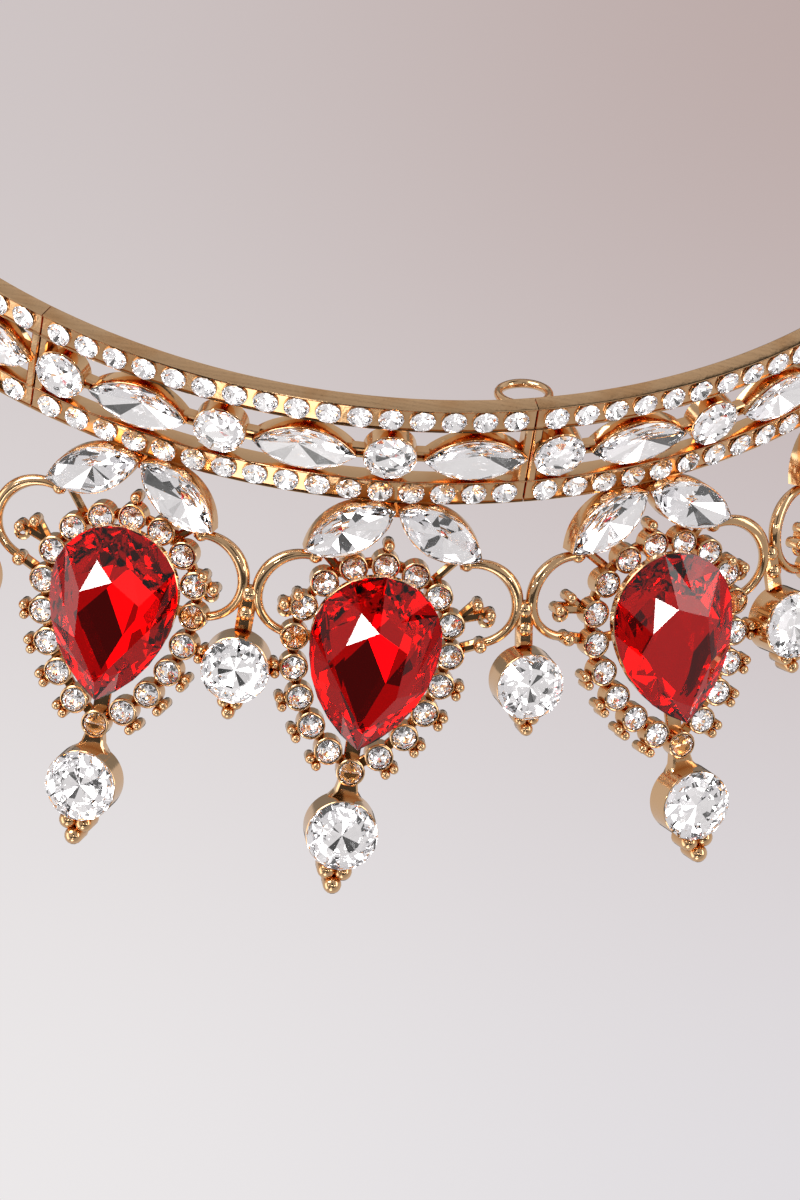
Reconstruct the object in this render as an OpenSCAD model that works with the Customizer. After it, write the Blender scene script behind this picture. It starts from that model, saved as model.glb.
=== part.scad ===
// Full round pageant crown: a ring of cast band segments, with a row of jewelled
// spires standing on it. +Z is up, and the band's lower edge rests on z = 0.
// The ring's axis is the Z axis, and the middle of band segment 1 faces -Y.

/* [Ring] */
// Cast band segments, soldered end to end
segment_count = 8; // [7:1:9]
// Small stones along each rail of one segment
rail_stone_count = 16; // [15:1:17]
// Pitch of the small stones along a rail
rail_stone_pitch = 3.15; // [3.05:0.05:3.4]
// Extra length of a segment at its soldered ends
seam_extra = 1.05; // [0.9:0.05:1.5]
// Gap that shows at each soldered seam
seam_gap = 0.1; // [0.05:0.05:0.2]

/* [Band] */
// Height of one stone-set rail
rail_h = 2.9; // [2.9:0.05:3]
// Radial thickness of a rail
rail_t = 1.65; // [1.6:0.05:2]
// Height between the two rows of rail stones
row_gap = 9.55; // [9.5:0.05:10]
// Width of the raised lips along a rail's edges
lip_w = 0.22; // [0.16:0.02:0.22]
// Diameter of the round stones in the middle row
middle_round_d = 5.4; // [5:0.1:5.5]
// Length of the marquise stones in the middle row
middle_marquise_l = 10.5; // [10:0.1:10.6]
// Width of the marquise stones in the middle row
middle_marquise_w = 5.2; // [4.8:0.1:5.4]

/* [Stones] */
// Diameter of the small round stones round the drops
small_stone_d = 2.35; // [2.2:0.05:2.4]
// Diameter of the small round stones in the rails, which cover their seats
rail_stone_d = 2.6; // [2.45:0.05:2.7]
// Length of the two leaf stones of a spire
marquise_l = 10; // [9.5:0.1:10.2]
// Width of the two leaf stones of a spire
marquise_w = 4.9; // [4.6:0.1:5]
// Width of the red drop stones
drop_w = 13.3; // [12.5:0.1:13.6]
// Length of the red drop stones
drop_l = 18.4; // [17.4:0.1:18.6]
// Diameter of the round crystal at a spire's tip
tip_stone_d = 7.3; // [6.8:0.1:7.6]
// Diameter of the round crystal between two spires
bridge_stone_d = 6.9; // [6.4:0.1:7.2]

/* [Spires] */
// Angle at which the spires lean out from the upright
flare = 24; // [18:1:27]
// Angle by which each spire is bent sideways by hand, in turn left and right
side_bend = 4.2; // [0:0.2:5]
// Thickness of the metal round each stone
cup_wall = 0.25; // [0.2:0.01:0.3]
// Diameter of the scroll wires
scroll_wire_d = 1.2; // [1:0.05:1.4]

/* [Loops] */
// Number of small loops inside the band, each at a soldered seam
loop_count = 4; // [2:2:4]
// Outer diameter of a loop
loop_d = 6; // [5.6:0.1:6.4]
// Wire diameter of a loop
loop_wire_d = 0.9; // [0.8:0.05:1]
// Angle by which a loop rises towards its inner side
loop_tilt = 17; // [0:1:20]

/* [Hidden] */
$fn = 48;
clearance = 0.03;
// How far a large stone's widest line covers the wall of its cup
overhang = 0.3;

// Ring sizes, all from the stone rows
segment_l = rail_stone_count * rail_stone_pitch + seam_extra;
ring_r = segment_count * segment_l / (2 * PI);
segment_a = 360 / segment_count;
seam_a = 360 * seam_gap / (2 * PI * ring_r);
spire_count = 2 * segment_count;
spire_a = 360 / spire_count;
rail_front = -0.15;
rail_back = rail_front - rail_t;
inner_r = ring_r + rail_back;
lower_row_z = rail_h / 2;
upper_row_z = lower_row_z + row_gap;
middle_row_z = lower_row_z + row_gap / 2;

// Middle row: rounds and marquises in turn, at one pitch
middle_count = 6;
middle_pitch = segment_l / middle_count;
middle_start = segment_l / 2 - 2.9;
link_reach = middle_round_d / 2 + 0.5;
middle_back = -1.5;
middle_top = 0.35;

// From a large stone's outline to the inner and outer faces of its cup
seat_grow = clearance - overhang;
cup_grow = seat_grow + cup_wall;

// Spire sizes, measured up its own slope from the upper row of rail stones
back = -1.3;
floor_t = 0.6;
leaf_x = 4.55;
leaf_y = 4.05;
leaf_a = 28;
leaf_top = 1;
halo_r = 7.9;
halo_tail = 14.1;
halo_y = 15.65;
halo_half = 9;
halo_top = 0.5;
halo_cup_r = small_stone_d / 2 + cup_wall;
drop_y = 14.9;
drop_seat = 1.1;
drop_top = 2.3;
tip_y = 35.95;
cup_top = 2;
finial_r = 0.95;
scroll_x = 8.9;
scroll_y = 11.55;
scroll_r = 4.35;
meet_y = 11.8;
bridge_y = 19.2;
bridge_out = 1.2;
bridge_finial_r = 0.7;
peg_r = 0.5;

function name_list(stem, count) = [for (i = [1:count]) str(stem, "_", i)];

// ---------- outlines ----------

// Marquise: two arcs that meet at the ends, grown by a wall
module marquise(l, w, grow = 0) {
    side_r = (l * l + w * w) / (4 * w);
    intersection() {
        translate([0, side_r - w / 2]) circle(side_r + grow, $fn = 96);
        translate([0, w / 2 - side_r]) circle(side_r + grow, $fn = 96);
    }
}

// Radius of the arcs that run from a drop's round end to its point
function flank_r(r, tail) = (r * r + tail * tail) / (2 * r);

// Drop: a round end about the origin and two arcs that meet at the point, +Y
module drop(r, tail, grow = 0) {
    f = flank_r(r, tail);
    circle(r + grow, $fn = 72);
    intersection() {
        translate([r - f, 0]) circle(f + grow, $fn = 144);
        translate([f - r, 0]) circle(f + grow, $fn = 144);
        translate([-2 * r, 0]) square([4 * r, 2 * tail]);
    }
}

// Straight bar between two points
module bar(a, b, w) {
    d = b - a;
    translate(a) rotate(atan2(d[1], d[0])) translate([0, -w / 2]) square([norm(d), w]);
}

// Place k along half the halo, evenly spaced from its round end to its point
halo_flank = flank_r(halo_r, halo_tail);
halo_quarter = PI / 2 * halo_r;
halo_step = (halo_quarter + halo_flank * asin(halo_tail / halo_flank) * PI / 180) / halo_half;
function halo_turn(k) = k * halo_step < halo_quarter
    ? k * halo_step / halo_r * 180 / PI - 90
    : (k * halo_step - halo_quarter) / halo_flank * 180 / PI;
function halo_reach(k, out) = k * halo_step < halo_quarter
    ? [(halo_r + out) * cos(halo_turn(k)), (halo_r + out) * sin(halo_turn(k))]
    : [halo_r - halo_flank + (halo_flank + out) * cos(halo_turn(k)),
       (halo_flank + out) * sin(halo_turn(k))];
function halo_at(k, out = 0, side = 1) = [side * halo_reach(k, out)[0], halo_y + halo_reach(k, out)[1]];
halo_places = concat([for (k = [0:halo_half]) halo_at(k)],
                     [for (k = [1:halo_half - 1]) halo_at(halo_half - k, 0, -1)]);

// ---------- placing ----------

// At an angle round the ring and a height: local Y is up and local Z is outward
module on_band(a, z) {
    rotate(a) translate([0, -ring_r, z]) rotate([90, 0, 0]) children();
}

// On spire i: local Y runs up the slope
module on_spire(i) {
    rotate(spire_a * (i - 1.5)) translate([0, -ring_r, upper_row_z]) rotate([90 + flare, 0, 0]) children();
}

// The part of spire i above its leaves, bent sideways
module on_bent_spire(i) {
    on_spire(i) rotate(i % 2 == 0 ? side_bend : -side_bend) children();
}

// Between spire i and the next
module on_bridge(i) {
    rotate(spire_a * (i - 1)) translate([0, -ring_r - bridge_out, upper_row_z])
        rotate([90 + flare, 0, 0]) translate([0, bridge_y]) children();
}

// ---------- stones ----------

// Round stone whose widest line lies just above the rim of its cup, at z = 0
module round_stone(d, crown, depth) {
    body_r = d / 2 - overhang;
    rotate_extrude() polygon([[0, -depth], [body_r, -depth * 0.4], [body_r, clearance], [d / 2, clearance],
                              [d / 2, 0.15], [d * 0.32, crown], [0, crown]]);
}

// Small round stone, its widest line at z = 0
module small_stone() {
    translate([0, 0, -0.9]) cylinder(h = 1, d = small_stone_d);
    translate([0, 0, 0.1]) cylinder(h = 0.4, d = small_stone_d * 0.66);
}

// Small stone of a rail, which lies over the rail's lips
module rail_stone() {
    translate([0, 0, -0.9]) cylinder(h = 1.1, d = small_stone_d);
    translate([0, 0, 0.13]) cylinder(h = 0.12, d = rail_stone_d);
    translate([0, 0, 0.2]) cylinder(h = 0.4, d = rail_stone_d * 0.66);
}

// Long or drop stone: a body of the second outline in the cup, the first outline just
// above the rim at z = 0, then a smaller table
module cut_stone(crown, depth) {
    translate([0, 0, -depth]) linear_extrude(depth + 0.1) children(1);
    translate([0, 0, clearance]) linear_extrude(0.15) children(0);
    linear_extrude(crown) scale(0.7) children(0);
}

module rail_stones(z) {
    for (s = [0:segment_count - 1], i = [0:rail_stone_count - 1])
        on_band(s * segment_a + (i - (rail_stone_count - 1) / 2) * rail_stone_pitch / segment_l * segment_a, z)
            rail_stone();
}

function middle_angle(i) = (middle_start - i * middle_pitch) / segment_l * segment_a;

// ---------- band ----------

module rail_section() {
    translate([ring_r + rail_back, -rail_h / 2]) square([rail_t, rail_h]);
    for (side = [0, 1])
        mirror([0, side]) translate([ring_r + rail_front - 0.1, rail_h / 2 - lip_w]) square([0.35, lip_w]);
}

module rail(z) {
    translate([0, 0, z]) rotate(-90 - segment_a / 2 + seam_a / 2)
        rotate_extrude(angle = segment_a - seam_a, $fn = 180) rail_section();
}

module rail_seats(z) {
    for (i = [0:rail_stone_count - 1])
        on_band((i - (rail_stone_count - 1) / 2) * rail_stone_pitch / segment_l * segment_a, z)
            translate([0, 0, -1.2]) cylinder(h = 2, r = small_stone_d / 2 + clearance);
}

// Place of the link after stone i, midway between a round cup's edge and a marquise cup's tip
function link_angle(i) = (middle_start - i * middle_pitch - (i % 2 == 0 ? link_reach : middle_pitch - link_reach))
    / segment_l * segment_a;

// Walls of the middle row, struts behind them, and the double links between them
module middle_cups() {
    depth = middle_top - middle_back;
    strut_w = 1.4;
    strut_h = row_gap - rail_h + 0.4;
    link_w = 1.3;
    for (i = [0:middle_count - 1])
        on_band(middle_angle(i), middle_row_z) {
            translate([0, 0, middle_back]) if (i % 2 == 0)
                cylinder(h = depth, r = middle_round_d / 2 + cup_grow);
            else
                linear_extrude(depth) marquise(middle_marquise_l, middle_marquise_w, cup_grow);
            translate([-strut_w / 2, -strut_h / 2, rail_back]) cube([strut_w, strut_h, 0.6]);
        }
    for (i = [0:middle_count - 2], side = [-1, 1])
        on_band(link_angle(i), middle_row_z + side * 0.42)
            translate([-link_w / 2, -0.25, middle_back + 0.4]) cube([link_w, 0.5, 1.2]);
}

module middle_seats() {
    for (i = [0:middle_count - 1])
        on_band(middle_angle(i), middle_row_z) translate([0, 0, middle_back + 0.4]) {
            if (i % 2 == 0)
                cylinder(h = 3, r = middle_round_d / 2 + seat_grow);
            else
                linear_extrude(3) marquise(middle_marquise_l, middle_marquise_w, seat_grow);
        }
}

// Upright posts that close the segment's ends
module end_posts() {
    post_w = 0.9;
    for (side = [-1, 1])
        on_band(side * (segment_a / 2 - seam_a / 2 - post_w / 2 / ring_r * 180 / PI), middle_row_z)
            translate([-post_w / 2 + 0.01, -row_gap / 2, rail_back + 0.2])
                cube([post_w - 0.02, row_gap, rail_t]);
}

module band_segment(i) {
    color("goldenrod") rotate((i - 1) * segment_a) difference() {
        union() {
            rail(lower_row_z);
            rail(upper_row_z);
            middle_cups();
            end_posts();
        }
        rail_seats(lower_row_z);
        rail_seats(upper_row_z);
        middle_seats();
    }
}

// ---------- spire ----------

// Short rod with a round front end
module peg(at, r, top) {
    translate([at[0], at[1], back]) cylinder(h = top - back, r = r, $fn = 24);
    translate([at[0], at[1], top]) sphere(r, $fn = 24);
}

module on_leaf(side) {
    translate([side * leaf_x, leaf_y]) rotate(side * leaf_a) children();
}

module leaves() {
    difference() {
        for (side = [-1, 1])
            translate([0, 0, back]) linear_extrude(leaf_top - back) on_leaf(side)
                marquise(marquise_l, marquise_w, cup_grow);
        for (side = [-1, 1])
            translate([0, 0, back + floor_t]) linear_extrude(4) on_leaf(side)
                marquise(marquise_l, marquise_w, seat_grow);
    }
}

// Foot on the rail's upper face, and bars that tie the leaves to the halo
module spire_roots() {
    root_w = 1.1;
    translate([0, 0, back]) linear_extrude(floor_t)
        for (side = [-1, 1])
            bar([side * 3.2, 5.6], halo_at(1, 0, side), root_w);
    foot_w = 3;
    rotate([-flare, 0, 0]) translate([-foot_w / 2, rail_h / 2, rail_back + 0.1]) cube([foot_w, 2.4, 1.4]);
}

// Scroll wires, one each side, and the trio of pegs inside each
module scrolls() {
    for (side = [0, 1]) mirror([side, 0]) {
        translate([scroll_x, scroll_y, back + scroll_wire_d / 2 + 0.1]) rotate(-108)
            rotate_extrude(angle = 184) translate([scroll_r, 0]) circle(d = scroll_wire_d, $fn = 24);
        peg([9.05, 11.35], peg_r, 0.2);
        peg([10.4, 12.35], peg_r, 0.2);
        peg([9.65, 15.65], 0.6, 0.2);
        translate([0, 0, back]) linear_extrude(floor_t) {
            bar(halo_at(3), [10.4, 12.35], 0.8);
            bar(halo_at(3), [9.05, 11.35], 0.8);
            bar(halo_at(4), [9.65, 15.65], 0.9);
        }
    }
}

module halo_plan() {
    link_w = 1.1;
    for (k = [0:len(halo_places) - 1]) {
        translate(halo_places[k]) circle(halo_cup_r);
        bar(halo_places[k], halo_places[(k + 1) % len(halo_places)], link_w);
    }
    for (k = [5:8], side = [-1, 1]) bar(halo_at(k, 0, side), halo_at(k, 1.9, side), 0.8);
    bar(halo_at(0), halo_at(0, 2.1), 0.9);
}

module halo() {
    difference() {
        translate([0, 0, back]) linear_extrude(halo_top - back) halo_plan();
        translate([0, 0, back + floor_t]) linear_extrude(4)
            for (at = halo_places) translate(at) circle(small_stone_d / 2 + clearance);
    }
    for (k = [5:8], side = [-1, 1]) peg(halo_at(k, 1.9, side), peg_r, 0.2);
    peg(halo_at(0, 2.1), 0.6, 0.3);
}

// Drop's basket on four spokes, wide only above the halo
module drop_basket() {
    r = drop_w / 2;
    tail = drop_l - r;
    spoke_w = 1;
    difference() {
        union() {
            translate([0, 0, back]) linear_extrude(floor_t) {
                bar([0, drop_y], halo_at(0), spoke_w);
                bar([0, drop_y], halo_at(halo_half), 1.6);
                for (side = [-1, 1]) bar([0, drop_y + 2], halo_at(4, 0, side), spoke_w);
            }
            translate([0, drop_y, back]) linear_extrude(drop_seat - back + 0.1) drop(r * 0.76, tail * 0.76);
            translate([0, drop_y, drop_seat]) linear_extrude(drop_top - drop_seat)
                drop(r, tail, cup_grow);
        }
        translate([0, drop_y, back + 1.4]) linear_extrude(5) drop(r * 0.7, tail * 0.7);
        translate([0, drop_y, drop_seat + 0.25]) linear_extrude(5) drop(r, tail, seat_grow);
    }
}

// Round cup with its seat, on the back plane
module round_cup(d) {
    difference() {
        translate([0, 0, back]) cylinder(h = cup_top - back, r = d / 2 + cup_grow);
        translate([0, 0, back + floor_t]) cylinder(h = 4, r = d / 2 + seat_grow);
    }
}

// Three pegs in a trefoil beyond a cup of diameter d
module trefoil(d, r, top) {
    reach = d / 2;
    spread = 0.88 * r;
    peg([-spread, reach + r * 0.5], r, top);
    peg([spread, reach + r * 0.5], r, top);
    peg([0, reach + r * 2.1], r, top);
}

module spire_tip() {
    neck_w = 3;
    difference() {
        translate([-neck_w / 2, halo_at(halo_half)[1], back])
            cube([neck_w, tip_y - halo_at(halo_half)[1] - 2, 1.5]);
        translate([0, tip_y, back + floor_t]) cylinder(h = 4, r = tip_stone_d / 2 + seat_grow);
        translate(concat(halo_at(halo_half), back + floor_t))
            cylinder(h = 4, r = small_stone_d / 2 + clearance);
    }
    translate([0, tip_y]) {
        round_cup(tip_stone_d);
        trefoil(tip_stone_d, finial_r, 0.9);
    }
}

module spire(i) {
    color("goldenrod") {
        on_spire(i) {
            leaves();
            spire_roots();
            scrolls();
        }
        on_bent_spire(i) {
            halo();
            drop_basket();
            spire_tip();
        }
    }
}

module red_drop(i) {
    color("crimson") on_bent_spire(i) translate([0, drop_y, drop_top]) cut_stone(1.7, 0.9) {
        drop(drop_w / 2, drop_l - drop_w / 2);
        drop(drop_w / 2, drop_l - drop_w / 2, -overhang);
    }
}

// ---------- bridges and loops ----------

module bridge_settings() {
    color("goldenrod") for (i = [1:spire_count]) on_bridge(i) {
        round_cup(bridge_stone_d);
        trefoil(bridge_stone_d, bridge_finial_r, 0.7);
        stem_w = 1.2;
        meet = meet_y - bridge_y;
        translate([-stem_w / 2, meet, back]) cube([stem_w, -meet - bridge_stone_d / 2, 1.1]);
        translate([0, meet, back + 0.7]) sphere(0.7, $fn = 32);
    }
}

// Wire loop with a solder pad against the seam
module pin_loop(i) {
    wire_r = loop_wire_d / 2;
    flat_h = 0.6;
    pad_w = 2.4;
    color("goldenrod") rotate(360 / loop_count * (i - 1) - segment_a / 2) {
        translate([0, -inner_r + 0.15, lower_row_z]) rotate([loop_tilt, 0, 0]) translate([0, loop_d / 2, 0])
            difference() {
                union() {
                    rotate_extrude() {
                        translate([loop_d / 2 - wire_r, 0]) circle(wire_r, $fn = 32);
                        translate([loop_d / 2 - loop_wire_d, -flat_h / 2]) square([wire_r, flat_h]);
                    }
                    translate([-pad_w / 2, -loop_d / 2, -0.45]) cube([pad_w, 0.7, 0.9]);
                }
                translate([0, 0, -1]) cylinder(h = 2, r = loop_d / 2 - loop_wire_d);
            }
    }
}

// ---------- stone groups ----------

module lower_rail_stones() {
    color("white") rail_stones(lower_row_z);
}

module upper_rail_stones() {
    color("white") rail_stones(upper_row_z);
}

module middle_round_stones() {
    color("white") for (s = [0:segment_count - 1], i = [0:2:middle_count - 1])
        on_band(s * segment_a + middle_angle(i), middle_row_z)
            translate([0, 0, middle_top]) round_stone(middle_round_d, 1.1, 1.3);
}

module middle_marquise_stones() {
    color("white") for (s = [0:segment_count - 1], i = [1:2:middle_count - 1])
        on_band(s * segment_a + middle_angle(i), middle_row_z)
            translate([0, 0, middle_top]) cut_stone(1.1, 1.3) {
                marquise(middle_marquise_l, middle_marquise_w);
                marquise(middle_marquise_l, middle_marquise_w, -overhang);
            }
}

module leaf_stones() {
    color("white") for (i = [1:spire_count], side = [-1, 1])
        on_spire(i) translate([0, 0, leaf_top]) on_leaf(side)
            cut_stone(1.1, 1.5) {
                marquise(marquise_l, marquise_w);
                marquise(marquise_l, marquise_w, -overhang);
            }
}

module halo_stones() {
    color("white") for (i = [1:spire_count], at = halo_places)
        on_bent_spire(i) translate([at[0], at[1], halo_top]) small_stone();
}

module tip_crystals() {
    color("white") for (i = [1:spire_count])
        on_bent_spire(i) translate([0, tip_y, cup_top]) round_stone(tip_stone_d, 1.5, 2.4);
}

module bridge_crystals() {
    color("white") for (i = [1:spire_count])
        on_bridge(i) translate([0, 0, cup_top]) round_stone(bridge_stone_d, 1.4, 2.4);
}

for (i = [1:segment_count]) band_segment(i);
for (i = [1:spire_count]) spire(i);
for (i = [1:spire_count]) red_drop(i);
for (i = [1:loop_count]) pin_loop(i);
bridge_settings();
lower_rail_stones();
upper_rail_stones();
middle_round_stones();
middle_marquise_stones();
leaf_stones();
halo_stones();
tip_crystals();
bridge_crystals();
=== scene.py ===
import random
from math import asin, cos, pi, radians, sin, sqrt

import bmesh
import bpy
from bpy.props import FloatProperty, FloatVectorProperty, IntProperty, PointerProperty
from mathutils import Matrix, Vector


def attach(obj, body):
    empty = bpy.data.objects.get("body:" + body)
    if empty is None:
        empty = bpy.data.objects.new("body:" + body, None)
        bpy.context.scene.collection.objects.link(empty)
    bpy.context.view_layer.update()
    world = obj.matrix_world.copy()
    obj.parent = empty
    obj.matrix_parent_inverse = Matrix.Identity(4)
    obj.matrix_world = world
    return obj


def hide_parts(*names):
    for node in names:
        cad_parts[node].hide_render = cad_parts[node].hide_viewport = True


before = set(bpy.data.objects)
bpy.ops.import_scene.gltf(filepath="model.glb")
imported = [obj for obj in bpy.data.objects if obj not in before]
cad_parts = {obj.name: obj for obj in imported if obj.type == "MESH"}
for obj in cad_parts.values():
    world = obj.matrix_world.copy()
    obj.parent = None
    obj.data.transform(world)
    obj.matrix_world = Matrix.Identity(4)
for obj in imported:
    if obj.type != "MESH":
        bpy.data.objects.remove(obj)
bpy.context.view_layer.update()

bl_info = {
    "name": "Jewelled Pageant Crown",
    "version": (1, 0, 0),
    "blender": (4, 5, 0),
    "location": "3D View > Sidebar > Crown",
    "description": "Builds a round crown of cast gold-coloured spires set with cut stones",
    "category": "Add Mesh",
}

MM = 0.001
BODY = "root"
SOFT = 38    # degrees above which a casting's edge stays sharp


# ---------- sizes and colours ----------

def length(name, description, mm):
    return FloatProperty(name=name, description=description, default=mm * MM, min=0.0,
                         precision=5, unit="LENGTH")


def angle(name, description, degrees):
    return FloatProperty(name=name, description=description, default=radians(degrees),
                         subtype="ANGLE")


def colour(name, description, rgb):
    return FloatVectorProperty(name=name, description=description, default=rgb, size=3,
                               min=0.0, max=1.0, subtype="COLOR")


class CrownSizes(bpy.types.PropertyGroup):
    """Sizes of the castings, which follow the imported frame."""
    segments: IntProperty(name="Band segments", description="Cast segments round the band",
                          default=8, min=3)
    rail_stones: IntProperty(name="Rail stones", description="Small stones along one rail of a segment",
                             default=16, min=4)
    rail_pitch: length("Rail pitch", "Pitch of the small stones along a rail", 3.15)
    seam_extra: length("Seam extra", "Extra length of a segment at its ends", 1.05)
    seam_gap: length("Seam gap", "Gap between two segments", 0.1)
    rail_height: length("Rail height", "Height of one stone-set rail", 2.9)
    rail_thickness: length("Rail thickness", "Radial thickness of a rail", 1.65)
    row_gap: length("Row gap", "Height between the two rows of rail stones", 9.55)
    cup_wall: length("Cup wall", "Thickness of the metal round each stone", 0.27)
    flare: angle("Flare", "Lean of the spires out from the upright", 24)
    side_bend: angle("Side bend", "Sideways bend of each spire, in turn left and right", 4.2)
    scroll_wire: length("Scroll wire", "Diameter of a scroll wire", 1.2)
    loops: IntProperty(name="Loops", description="Small loops inside the band", default=4, min=1)
    loop_outer: length("Loop diameter", "Outer diameter of a loop", 6)
    loop_wire: length("Loop wire", "Diameter of a loop's wire", 0.9)
    loop_tilt: angle("Loop tilt", "Angle by which a loop rises towards its inner side", 17)


class StoneSizes(bpy.types.PropertyGroup):
    """Sizes of the cut stones."""
    small: length("Small round", "Diameter of the small round stones", 2.35)
    rail_stone: length("Rail stone", "Diameter of the round stones in the rails", 2.6)
    middle_round: length("Middle round", "Diameter of the round stones in the middle row", 5.4)
    middle_length: length("Middle marquise length", "Length of a marquise in the middle row", 10.5)
    middle_width: length("Middle marquise width", "Width of a marquise in the middle row", 5.2)
    leaf_length: length("Leaf length", "Length of a marquise leaf", 10)
    leaf_width: length("Leaf width", "Width of a marquise leaf", 4.9)
    overhang: length("Overhang", "How far a large stone's edge covers its cup's wall", 0.3)
    drop_width: length("Drop width", "Width of a red drop", 13.3)
    drop_length: length("Drop length", "Length of a red drop", 18.4)
    tip: length("Tip crystal", "Diameter of the crystal at a spire's tip", 7.3)
    bridge: length("Bridge crystal", "Diameter of the crystal between two spires", 6.9)


class CrownFinish(bpy.types.PropertyGroup):
    """Colours of the metal and the stones."""
    gold: colour("Gold", "Polished gold plating", (0.88, 0.575, 0.32))
    # The deep gold is painted shade in the hollows, mixed in by ambient occlusion, and also the tone of
    # random duller patches.
    gold_shade_and_dull: colour("Deep gold", "Plating in the hollows, where the polish is duller",
                      (0.66, 0.29, 0.08))
    crystal: colour("Crystal", "Clear glass", (0.985, 0.985, 0.99))
    foil: colour("Foil", "Silver foil behind the clear stones", (0.93, 0.93, 0.94))
    ruby: colour("Ruby", "Red glass", (0.50, 0.0015, 0.008))
    ruby_foil: colour("Ruby foil", "Foil behind the red stones", (0.90, 0.06, 0.09))


class StudioSettings(bpy.types.PropertyGroup):
    """The light in the stones, the floor and the camera."""
    sparkle: FloatProperty(name="Sparkle", description="Light seen through cut glass, against the room's",
                           default=1.95, min=0.5, max=4)
    floor: colour("Floor", "Plain pale floor", (0.80, 0.76, 0.765))
    distance: length("Camera distance", "From the camera to its target", 1181.2)
    below: angle("Camera below", "How far below the horizon the camera looks from", 41.93)
    turn: angle("Camera turn", "Turn of the camera round the crown's axis", -2.39)
    roll: angle("Camera roll", "Roll of the camera about its own axis", 9.20)
    lens: FloatProperty(name="Lens", description="Focal length for a 36 mm tall picture",
                        default=353.37, min=10.0, unit="CAMERA")
    target: FloatVectorProperty(name="Target", description="Point at the middle of the picture",
                                default=(-0.01198, -0.06549, 0.02455), size=3, subtype="TRANSLATION")


class Plan:
    """The crown's sizes in millimetres, and the places that follow from them."""

    def __init__(self):
        scene = bpy.context.scene
        for group in (scene.crown_sizes, scene.crown_stones):
            for key, prop in group.bl_rna.properties.items():
                if prop.type in ("INT", "FLOAT"):
                    value = getattr(group, key)
                    setattr(self, key, value / MM if prop.unit == "LENGTH" else value)
        self.segment_l = self.rail_stones * self.rail_pitch + self.seam_extra
        self.ring_r = self.segments * self.segment_l / (2 * pi)
        self.segment_a = 2 * pi / self.segments
        self.spires = 2 * self.segments
        self.spire_a = 2 * pi / self.spires
        self.front = -0.15
        self.rail_back = self.front - self.rail_thickness
        self.inner_r = self.ring_r + self.rail_back
        self.lower_z = self.rail_height / 2
        self.upper_z = self.lower_z + self.row_gap
        self.middle_z = (self.lower_z + self.upper_z) / 2
        self.middle_count = 6
        self.middle_pitch = self.segment_l / self.middle_count
        self.middle_start = self.segment_l / 2 - 2.9
        self.middle_back, self.middle_top = -1.5, 0.35
        self.back = -1.3
        self.floor = self.back + 0.6
        self.leaf_x, self.leaf_y, self.leaf_a, self.leaf_top = 4.55, 4.05, radians(28), 1.0
        self.halo_r, self.halo_tail, self.halo_y, self.halo_half = 7.9, 14.1, 15.65, 9
        self.halo_top = 0.5
        self.drop_y, self.drop_seat, self.drop_top = 14.9, 1.1, 2.3
        self.tip_y, self.cup_top = 35.95, 2.0
        self.finial_r, self.bridge_finial_r, self.peg_r = 0.95, 0.7, 0.5
        self.scroll_at, self.scroll_r = (8.9, 11.55), 4.35
        self.meet_y, self.bridge_y, self.bridge_out = 11.8, 19.2, 1.2
        self.drop_r = self.drop_width / 2
        self.drop_tail = self.drop_length - self.drop_r
        self.gap = 0.03
        self.cup_inset = self.gap - self.overhang

    def arc(self, millimetres):
        """Angle round the ring for a length along the stone line."""
        return millimetres / self.segment_l * self.segment_a

    def middle_angle(self, i):
        return self.arc(self.middle_start - i * self.middle_pitch)

    def rail_angle(self, i):
        return self.arc((i - (self.rail_stones - 1) / 2) * self.rail_pitch)

    def link_angle(self, i):
        reach = self.middle_round / 2 + 0.5
        step = reach if i % 2 == 0 else self.middle_pitch - reach
        return self.arc(self.middle_start - i * self.middle_pitch - step)

    def halo_at(self, k, out=0.0, side=1):
        """Place k along half the halo, from its round end to its point, and out from it."""
        flank = (self.halo_r ** 2 + self.halo_tail ** 2) / (2 * self.halo_r)
        quarter = pi / 2 * self.halo_r
        along = k * (quarter + flank * asin(self.halo_tail / flank)) / self.halo_half
        if along < quarter:
            turn = along / self.halo_r - pi / 2
            x, y = (self.halo_r + out) * cos(turn), (self.halo_r + out) * sin(turn)
        else:
            turn = (along - quarter) / flank
            x, y = self.halo_r - flank + (flank + out) * cos(turn), (flank + out) * sin(turn)
        return side * x, self.halo_y + y

    def halo_places(self):
        places = [self.halo_at(k) for k in range(self.halo_half + 1)]
        return places + [self.halo_at(self.halo_half - k, 0, -1) for k in range(1, self.halo_half)]


# ---------- placing ----------

def turn_z(a):
    return Matrix.Rotation(a, 4, "Z")


def move(x, y, z=0.0):
    return Matrix.Translation((x, y, z))


def turn_x(a):
    return Matrix.Rotation(a, 4, "X")


def on_band(plan, a, z):
    """Local X runs round the ring, local Y is up and local Z is outward."""
    return turn_z(a) @ move(0, -plan.ring_r, z) @ turn_x(pi / 2)


def on_spire(plan, a, out=0.0):
    """Local Y runs up the spire's slope and local Z is outward."""
    return turn_z(a) @ move(0, -plan.ring_r - out, plan.upper_z) @ turn_x(pi / 2 + plan.flare)


def on_bridge(plan, a):
    return on_spire(plan, a, plan.bridge_out) @ move(0, plan.bridge_y)


def spire_angle(plan, i):
    return plan.spire_a * (i - 1.5)


def bend_of(plan, i):
    return plan.side_bend if i % 2 == 0 else -plan.side_bend


# ---------- outlines ----------

def turns(count, start=0.0):
    """Angles of a full turn in equal steps."""
    return [start + 2 * pi * k / count for k in range(count)]


def circle_outline(r, count, start=0.0):
    """Points and outward normals round a circle."""
    round_it = turns(count, start)
    return [(r * cos(t), r * sin(t)) for t in round_it], [(cos(t), sin(t)) for t in round_it]


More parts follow.
